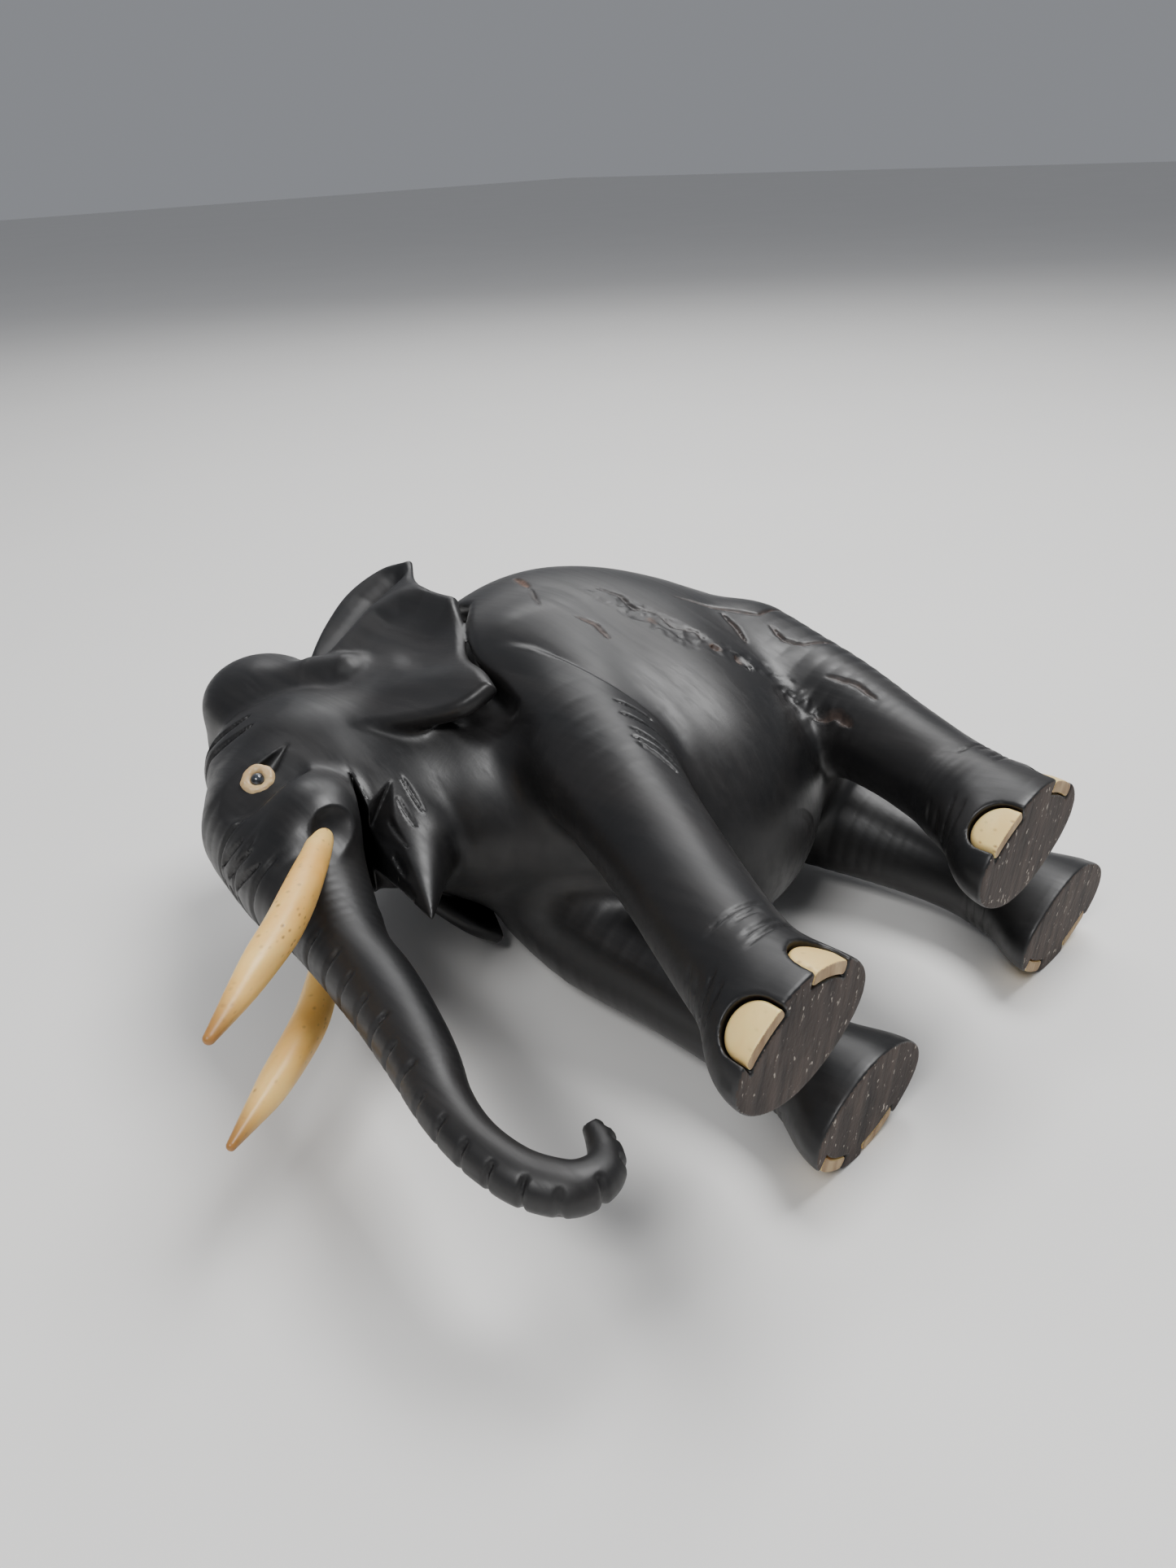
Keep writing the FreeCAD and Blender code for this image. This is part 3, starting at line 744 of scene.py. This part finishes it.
TUSK = Limb(
    ((95.5, 12.2, 115.5), (108, 14.5, 102.5), (120, 15, 92), (134, 14.4, 83), (147, 13.4, 75.4)),
    (2.5, 3.5, 3.9, 3.2, 1.1),
    smooth=True,
)
TUSK_STAIN_START = 136
TUSK_STAIN_LENGTH = 11


def tusk(side):
    """A whittled bone tusk, stained towards its tip."""

    def carve(wood):
        wood.join(TUSK, 1, side)
        x, y, z = wood.at
        wood.depth += 0.2 * noise(x * 0.5, y * 2.0, z * 0.5, 4.4)
        wood.raw = ease((x - TUSK_STAIN_START) / TUSK_STAIN_LENGTH)

    return carve, TUSK


def eye_ring(side):
    """A worn bone ring that faces out of the temple."""
    centre = box_middle("left_eye_ring")
    out = EYE_FACING
    ring_radius, hole_radius, half_height = 3.9, 1.6, 1.6

    def carve(wood):
        x, y, z = wood.at
        dx, dy, dz = x - centre[0], y * side - centre[1], z - centre[2]
        height = dx * out[0] + dy * out[1] + dz * out[2]
        across = np.sqrt(np.maximum(dx**2 + dy**2 + dz**2 - height**2, 0))
        across += 0.35 * noise(x, y, z, 2.6)
        rim = (ring_radius + hole_radius) / 2
        wall = (ring_radius - hole_radius) / 2
        tube = np.hypot(across - rim, np.maximum(np.abs(height + 0.3) - half_height + 0.8, 0)) - wall
        wood.depth = np.float32(tube + 0.12 * noise(x, y, z, 0.9))

    return carve, Oval(centre, [ring_radius + 1.6] * 3)


def pupil(side):
    """The dark peg in the middle of the ring."""
    centre = box_middle("left_pupil")
    ring = box_middle("left_eye_ring")
    shape = Limb((centre, ring + (ring - centre) * 0.25), (1.8, 1.75))

    def carve(wood):
        wood.join(shape, 1, side)

    return carve, shape


# ---- from distance field to mesh ----

def surface_of(carve, low, high, step):
    """The vertices and four-sided faces of the surface, by the surface nets method."""
    coarse = 4
    counts = [int(math.ceil((b - a) / step / coarse)) for a, b in zip(low, high)]
    rough = [a + (np.arange(n) + 0.5) * step * coarse - step / 2 for a, n in zip(low, counts)]
    wood = Wood(*(axis.ravel() for axis in np.meshgrid(*rough, indexing="ij")))
    carve(wood)
    grid = wood.depth.reshape(counts)
    for axis in range(3):
        grid = np.repeat(grid, coarse, axis=axis)
    index = np.flatnonzero(np.abs(grid).ravel() < step * coarse * 1.3 + 1.2)
    places = np.unravel_index(index, grid.shape)
    wood = Wood(*(a + place * step for a, place in zip(low, places)))
    carve(wood)
    grid = np.ascontiguousarray(grid)
    grid.ravel()[index] = wood.depth
    return nets(grid, low, step)


def nets(grid, low, step):
    """One vertex in each cell that the surface passes through, and the faces between them."""
    inside = grid < 0
    corners = [(i, j, k) for i in (0, 1) for j in (0, 1) for k in (0, 1)]
    shape = tuple(n - 1 for n in grid.shape)

    def corner(values, i, j, k):
        return values[i:i + shape[0], j:j + shape[1], k:k + shape[2]]

    filled = sum(corner(inside, *c).astype(np.int8) for c in corners)
    cells = np.flatnonzero(((filled > 0) & (filled < 8)).ravel())
    ci, cj, ck = np.unravel_index(cells, shape)
    values = {c: grid[ci + c[0], cj + c[1], ck + c[2]] for c in corners}
    total, hits = np.zeros((len(cells), 3)), np.zeros(len(cells))
    for a in corners:
        for axis in range(3):
            if a[axis]:
                continue
            b = tuple(1 if n == axis else a[n] for n in range(3))
            crosses = (values[a] < 0) != (values[b] < 0)
            share = np.where(crosses, values[a] / np.where(crosses, values[a] - values[b], 1), 0)
            point = np.tile(np.array(a, float), (len(cells), 1))
            point[:, axis] += share
            total += point * crosses[:, None]
            hits += crosses
    vertices = (np.stack((ci, cj, ck), axis=1) + total / hits[:, None]) * step + np.array(low)
    number = np.full(shape, -1, np.int32)
    number.ravel()[cells] = np.arange(len(cells))
    return vertices, np.concatenate([edge_faces(inside, number, axis) for axis in range(3)])


def edge_faces(inside, number, axis):
    """One face across each grid edge along the axis that passes through the surface."""
    order = [axis, (axis + 1) % 3, (axis + 2) % 3]
    wood = inside.transpose(order)
    cell = number.transpose(order)
    starts, ends = wood[:-1, 1:-1, 1:-1], wood[1:, 1:-1, 1:-1]
    i, j, k = np.nonzero(starts != ends)
    quads = np.stack((cell[i, j, k], cell[i, j + 1, k], cell[i, j + 1, k + 1], cell[i, j, k + 1]), axis=1)
    flipped = ~starts[i, j, k]
    quads[flipped] = quads[flipped][:, ::-1]
    return quads


def settle(carve, vertices, step):
    """Moves the vertices onto the exact surface, and reads how raw the wood is at each."""
    tetrahedron = np.array(((1, 1, 1), (1, -1, -1), (-1, 1, -1), (-1, -1, 1)), float)
    reach = step * 0.35
    samples = (vertices[None] + tetrahedron[:, None] * reach).reshape(-1, 3)
    wood = Wood(*samples.T)
    carve(wood)
    depth = wood.depth.reshape(4, -1)
    slope = np.einsum("tn,ta->na", depth, tetrahedron) / (4 * reach)
    steep = np.maximum((slope**2).sum(axis=1), 0.2)
    move = slope * (depth.mean(axis=0) / steep)[:, None]
    length = np.maximum(np.linalg.norm(move, axis=1), 1e-9)
    move *= np.minimum(1, step * 0.5 / length)[:, None]
    return vertices - move, wood.raw.reshape(4, -1).mean(axis=0)


def piece_mesh(name, carve, low, high, step):
    """A Blender mesh of what carve leaves between two corners, and its vertices in carving millimetres."""
    vertices, faces = surface_of(carve, low, high, step)
    vertices, raw = settle(carve, vertices, step)
    turn = np.array(TO_ROW)
    placed = vertices @ turn[:3, :3].T + turn[:3, 3]
    mesh = bpy.data.meshes.new(name)
    mesh.vertices.add(len(placed))
    mesh.vertices.foreach_set("co", placed.astype(np.float32).ravel())
    mesh.loops.add(faces.size)
    mesh.loops.foreach_set("vertex_index", faces.astype(np.int32).ravel())
    mesh.polygons.add(len(faces))
    mesh.polygons.foreach_set("loop_start", np.arange(0, faces.size, 4, dtype=np.int32))
    mesh.update(calc_edges=True)
    mesh.validate()
    mesh.attributes.new("raw", "FLOAT", "POINT").data.foreach_set("value", raw.astype(np.float32))
    mesh.shade_smooth()
    return mesh, vertices, faces


def add_piece(node, carve, shape, step, materials, end_height=None, side=1):
    """Carves the piece that stands for a CAD node. Faces below end_height take the second material."""
    name = node + "_look"
    points = shape.points * np.array((1, side, 1))
    low = points.min(axis=0) - shape.reach - 2
    high = points.max(axis=0) + shape.reach + 2
    mesh, vertices, faces = piece_mesh(name, carve, low, high, step)
    for material in materials:
        mesh.materials.append(material)
    if end_height is not None:
        on_sole = vertices[faces][:, :, 2].max(axis=1) < end_height
        mesh.polygons.foreach_set("material_index", on_sole.astype(np.int32))
    piece = bpy.data.objects.new(name, mesh)
    bpy.context.scene.collection.objects.link(piece)
    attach(piece, "root")
    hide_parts(node)
    return piece


# ---- materials ----

class Nodes:
    """A material's node tree, with short calls for the nodes that are used here."""

    def __init__(self, name):
        self.material = bpy.data.materials.new(name)
        self.material.use_nodes = True
        self.tree = self.material.node_tree
        self.shader = self.tree.nodes["Principled BSDF"]
        self.place = self.add("ShaderNodeTexCoord").outputs["Object"]

    def add(self, kind, **settings):
        node = self.tree.nodes.new(kind)
        for key, value in settings.items():
            setattr(node, key, value)
        return node

    def link(self, output, socket):
        self.tree.links.new(output, socket)

    def texture(self, kind, scale, stretch):
        """A texture over the piece's own place, squeezed or drawn out along its axes."""
        mapping = self.add("ShaderNodeMapping")
        mapping.inputs["Scale"].default_value = stretch
        self.link(self.place, mapping.inputs["Vector"])
        node = self.add(kind)
        node.inputs["Scale"].default_value = scale
        self.link(mapping.outputs["Vector"], node.inputs["Vector"])
        return node

    def noise(self, scale, stretch=(1, 1, 1), detail=4.0, roughness=0.55):
        node = self.texture("ShaderNodeTexNoise", scale, stretch)
        node.inputs["Detail"].default_value = detail
        node.inputs["Roughness"].default_value = roughness
        return node.outputs["Fac"]

    def cells(self, scale, stretch=(1, 1, 1)):
        return self.texture("ShaderNodeTexVoronoi", scale, stretch).outputs["Distance"]

    def spread(self, value, low, high, to_low=0.0, to_high=1.0):
        """The value with low to high spread over to_low to to_high, and held at its ends."""
        node = self.add("ShaderNodeMapRange")
        node.inputs["From Min"].default_value = low
        node.inputs["From Max"].default_value = high
        node.inputs["To Min"].default_value = to_low
        node.inputs["To Max"].default_value = to_high
        self.link(value, node.inputs["Value"])
        return node.outputs["Result"]

    def attribute(self, name):
        return self.add("ShaderNodeAttribute", attribute_name=name).outputs["Fac"]

    def mix(self, share, first, second):
        """A blend of two colours, each a tuple or another node's output."""
        node = self.add("ShaderNodeMix", data_type="RGBA")
        self.link(share, node.inputs["Factor"])
        for value, socket in ((first, node.inputs[6]), (second, node.inputs[7])):
            if isinstance(value, tuple):
                socket.default_value = (*value, 1)
            else:
                self.link(value, socket)
        return node.outputs[2]

    def sum(self, first, second, weight):
        """first plus weight times second."""
        node = self.add("ShaderNodeMath", operation="MULTIPLY_ADD")
        self.link(second, node.inputs[0])
        node.inputs[1].default_value = weight
        self.link(first, node.inputs[2])
        return node.outputs[0]

    def bump(self, height, strength, distance):
        node = self.add("ShaderNodeBump")
        node.inputs["Strength"].default_value = strength
        node.inputs["Distance"].default_value = distance
        self.link(height, node.inputs["Height"])
        self.link(node.outputs["Normal"], self.shader.inputs["Normal"])

    def set(self, **values):
        for key, value in values.items():
            self.shader.inputs[key.replace("_", " ")].default_value = value


def ebony():
    """Black satin wood with fine sanding scratches, and reddish brown where it has chipped."""
    nodes = Nodes("ebony_satin")
    grain = nodes.noise(90, (1.0, 0.08, 1.0), detail=6)
    cloud = nodes.noise(22, detail=3)
    scratch = nodes.noise(520, (1.0, 0.04, 0.35), detail=5, roughness=0.7)
    fine = nodes.noise(900, (0.06, 1.0, 0.5), detail=3)
    raw = nodes.attribute("raw")
    tone = nodes.mix(nodes.spread(grain, 0.4, 0.75), (0.006, 0.006, 0.0065), (0.015, 0.0135, 0.013))
    chip = nodes.mix(nodes.spread(nodes.noise(500), 0.35, 0.65), (0.055, 0.03, 0.022), (0.16, 0.1, 0.075))
    nodes.link(nodes.mix(raw, tone, chip), nodes.shader.inputs["Base Color"])
    gloss = nodes.sum(nodes.spread(cloud, 0.3, 0.7, 0.33, 0.46), nodes.spread(scratch, 0.45, 0.7), 0.12)
    nodes.link(nodes.sum(gloss, raw, 0.4), nodes.shader.inputs["Roughness"])
    nodes.bump(nodes.sum(scratch, fine, 0.5), 0.28, 0.00008)
    return nodes.material


def end_grain():
    """The sawn soles: rough brown black end grain with pale specks of dust in the saw's lines."""
    nodes = Nodes("ebony_end_grain")
    lines = nodes.noise(330, (1.0, 1.0, 0.12), detail=3, roughness=0.6)
    pores = nodes.noise(900, (1.0, 1.0, 0.5), detail=2)
    patch = nodes.noise(60, detail=4)
    tone = nodes.mix(nodes.spread(lines, 0.35, 0.65), (0.016, 0.011, 0.0095), (0.075, 0.054, 0.044))
    tone = nodes.mix(nodes.spread(patch, 0.4, 0.7, 0.0, 0.6), tone, (0.05, 0.035, 0.03))
    tone = nodes.mix(nodes.spread(pores, 0.655, 0.73), tone, (0.44, 0.39, 0.33))
    nodes.link(tone, nodes.shader.inputs["Base Color"])
    nodes.set(Roughness=0.82)
    nodes.bump(nodes.sum(lines, pores, 0.6), 0.9, 0.0006)
    return nodes.material


def bone(name, pale, deep, stain):
    """Cream bone with long streaks and small dark pores, stained where raw is 1."""
    nodes = Nodes(name)
    streak = nodes.noise(70, (0.35, 1.0, 1.0), detail=5)
    pores = nodes.cells(900, (0.45, 0.45, 1.0))
    where = nodes.noise(60, detail=3)
    raw = nodes.attribute("raw")
    tone = nodes.mix(nodes.spread(streak, 0.35, 0.7), pale, deep)
    tone = nodes.mix(raw, tone, stain)
    pit = nodes.add("ShaderNodeMath", operation="MULTIPLY")
    nodes.link(nodes.spread(pores, 0.0, 0.28, 1.0, 0.0), pit.inputs[0])
    nodes.link(nodes.spread(where, 0.44, 0.6), pit.inputs[1])
    tone = nodes.mix(pit.outputs[0], tone, (0.22, 0.12, 0.045))
    nodes.link(tone, nodes.shader.inputs["Base Color"])
    nodes.link(nodes.spread(streak, 0.3, 0.7, 0.32, 0.46), nodes.shader.inputs["Roughness"])
    nodes.set(Subsurface_Weight=0.12, Subsurface_Scale=0.004)
    nodes.bump(nodes.sum(streak, pit.outputs[0], -0.6), 0.35, 0.0003)
    return nodes.material


def sawn_bone():
    """The brown sawn ends of the toenails."""
    nodes = Nodes("bone_sawn_end")
    streak = nodes.noise(420, (1.0, 1.0, 0.2), detail=4)
    tone = nodes.mix(nodes.spread(streak, 0.35, 0.7), (0.5, 0.36, 0.2), (0.24, 0.14, 0.07))
    nodes.link(tone, nodes.shader.inputs["Base Color"])
    nodes.set(Roughness=0.75)
    nodes.bump(streak, 0.7, 0.0003)
    return nodes.material


def glossy_black():
    """The pupils."""
    nodes = Nodes("pupil_gloss")
    cloud = nodes.noise(900, detail=3)
    tone = nodes.mix(nodes.spread(cloud, 0.4, 0.7), (0.012, 0.013, 0.016), (0.05, 0.06, 0.075))
    nodes.link(tone, nodes.shader.inputs["Base Color"])
    nodes.link(nodes.spread(cloud, 0.3, 0.7, 0.14, 0.24), nodes.shader.inputs["Roughness"])
    nodes.set(Coat_Weight=0.5)
    nodes.bump(cloud, 0.15, 0.0001)
    return nodes.material


def floor_material():
    """Plain warm white."""
    nodes = Nodes("studio_floor")
    cloud = nodes.noise(6, detail=3)
    nodes.link(nodes.mix(cloud, (0.74, 0.73, 0.71), (0.78, 0.77, 0.75)), nodes.shader.inputs["Base Color"])
    nodes.set(Roughness=0.55)
    return nodes.material


# ---- the pieces ----

class Block:
    """The two far corners of the block that the body is carved from."""

    points = np.array(((-60.0, -43, 0), (128, 43, 203)))
    reach = 1


def make_pieces():
    """Every node of the CAD, each with its own slot and material."""
    wood, sole = ebony(), end_grain()
    tusk_bone = bone("tusk_bone", (0.86, 0.57, 0.19), (0.72, 0.38, 0.08), (0.33, 0.16, 0.04))
    nail_bone = bone("nail_bone", (0.85, 0.66, 0.29), (0.74, 0.5, 0.18), (0.5, 0.36, 0.2))
    ring_bone = bone("eye_bone", (0.6, 0.43, 0.22), (0.3, 0.18, 0.08), (0.3, 0.2, 0.1))
    black = glossy_black()
    sawn = sawn_bone()
    add_piece("carved_body", carve_body, Block, BODY_STEP, (wood, sole), SOLE_HEIGHT)
    for side, hand in SIDES:
        for name, make, step, slot, material in (
            ("tusk", tusk, TUSK_STEP, "tusk_bone", tusk_bone),
            ("eye_ring", eye_ring, EYE_STEP, "eye_bone", ring_bone),
            ("pupil", pupil, EYE_STEP, "pupil", black),
        ):
            carve, shape = make(side)
            add_piece(hand + "_" + name, carve, shape, step, (material,), side=side)
    for nail in NAILS:
        add_piece(nail.name, nail.piece, nail, NAIL_STEP, (nail_bone, sawn), NAIL_END_HEIGHT)


# ---- studio ----

# The camera stands where the photo was taken from. Angles are in degrees, places in metres, the lens in mm.
CAMERA_AZIMUTH = -44.329
CAMERA_ELEVATION = 28.447
CAMERA_ROLL = -2.935
CAMERA_DISTANCE = 0.28516
CAMERA_AIM = Vector((0.00974, -0.00522, 0.00568))
SENSOR_WIDTH = 36.0
LENS = 36.07
FLOOR_HALF = 6.0

# Each soft light: azimuth, elevation, distance, size and power.
LIGHTS = {
    "overhead": (80, 66, 1.1, (0.7, 0.5), 14),
    "rear": (137, 38, 1.3, (0.9, 0.4), 5),
    "near": (-68, 48, 1.2, (0.4, 0.3), 8),
}
SKY_COLOUR = (0.9, 0.93, 1.0, 1)
SKY_STRENGTH = 0.28


def make_camera(middle):
    """The photo's viewpoint, turned about the middle of the CAD's box."""
    camera = bpy.data.objects.new("camera", bpy.data.cameras.new("camera"))
    camera.data.sensor_fit = "HORIZONTAL"
    camera.data.sensor_width = SENSOR_WIDTH
    camera.data.lens = LENS
    camera.data.clip_start = 0.01
    turn = Matrix.Rotation(math.radians(CAMERA_AZIMUTH), 4, "Z")
    tilt = Matrix.Rotation(math.radians(90 - CAMERA_ELEVATION), 4, "X")
    roll = Matrix.Rotation(math.radians(CAMERA_ROLL), 4, "Z")
    back = Matrix.Translation((0, 0, CAMERA_DISTANCE))
    camera.matrix_world = Matrix.Translation(middle + CAMERA_AIM) @ turn @ tilt @ roll @ back
    bpy.context.scene.collection.objects.link(camera)
    bpy.context.scene.camera = camera


def make_floor(middle, height):
    """A plain pale floor that the figure lies on."""
    turns = ((-1, -1), (1, -1), (1, 1), (-1, 1))
    corners = [(middle.x + x * FLOOR_HALF, middle.y + y * FLOOR_HALF, height) for x, y in turns]
    mesh = bpy.data.meshes.new("floor")
    mesh.from_pydata(corners, [], [(0, 1, 2, 3)])
    mesh.materials.append(floor_material())
    floor = bpy.data.objects.new("floor", mesh)
    bpy.context.scene.collection.objects.link(floor)


def soft_light(name, middle, azimuth, elevation, distance, size, power):
    """A rectangular area light that shines at the middle."""
    data = bpy.data.lights.new(name, "AREA")
    data.shape = "RECTANGLE"
    data.size, data.size_y = size
    data.energy = power
    light = bpy.data.objects.new(name, data)
    turn = Matrix.Rotation(math.radians(azimuth), 4, "Z")
    tilt = Matrix.Rotation(math.radians(90 - elevation), 4, "X")
    light.matrix_world = Matrix.Translation(middle) @ turn @ tilt @ Matrix.Translation((0, 0, distance))
    bpy.context.scene.collection.objects.link(light)


def make_world():
    """A soft cool sky."""
    world = bpy.data.worlds.new("studio")
    world.use_nodes = True
    background = world.node_tree.nodes["Background"]
    background.inputs["Color"].default_value = SKY_COLOUR
    background.inputs["Strength"].default_value = SKY_STRENGTH
    bpy.context.scene.world = world


def make_studio():
    """Camera, floor and lights about the middle of the CAD's box."""
    low, high = (Vector(corner) for corner in CAD_BOUNDS)
    middle = (low + high) / 2
    make_camera(middle)
    make_floor(middle, low.z)
    for name, settings in LIGHTS.items():
        soft_light(name, middle, *settings)
    make_world()


make_pieces()
make_studio()
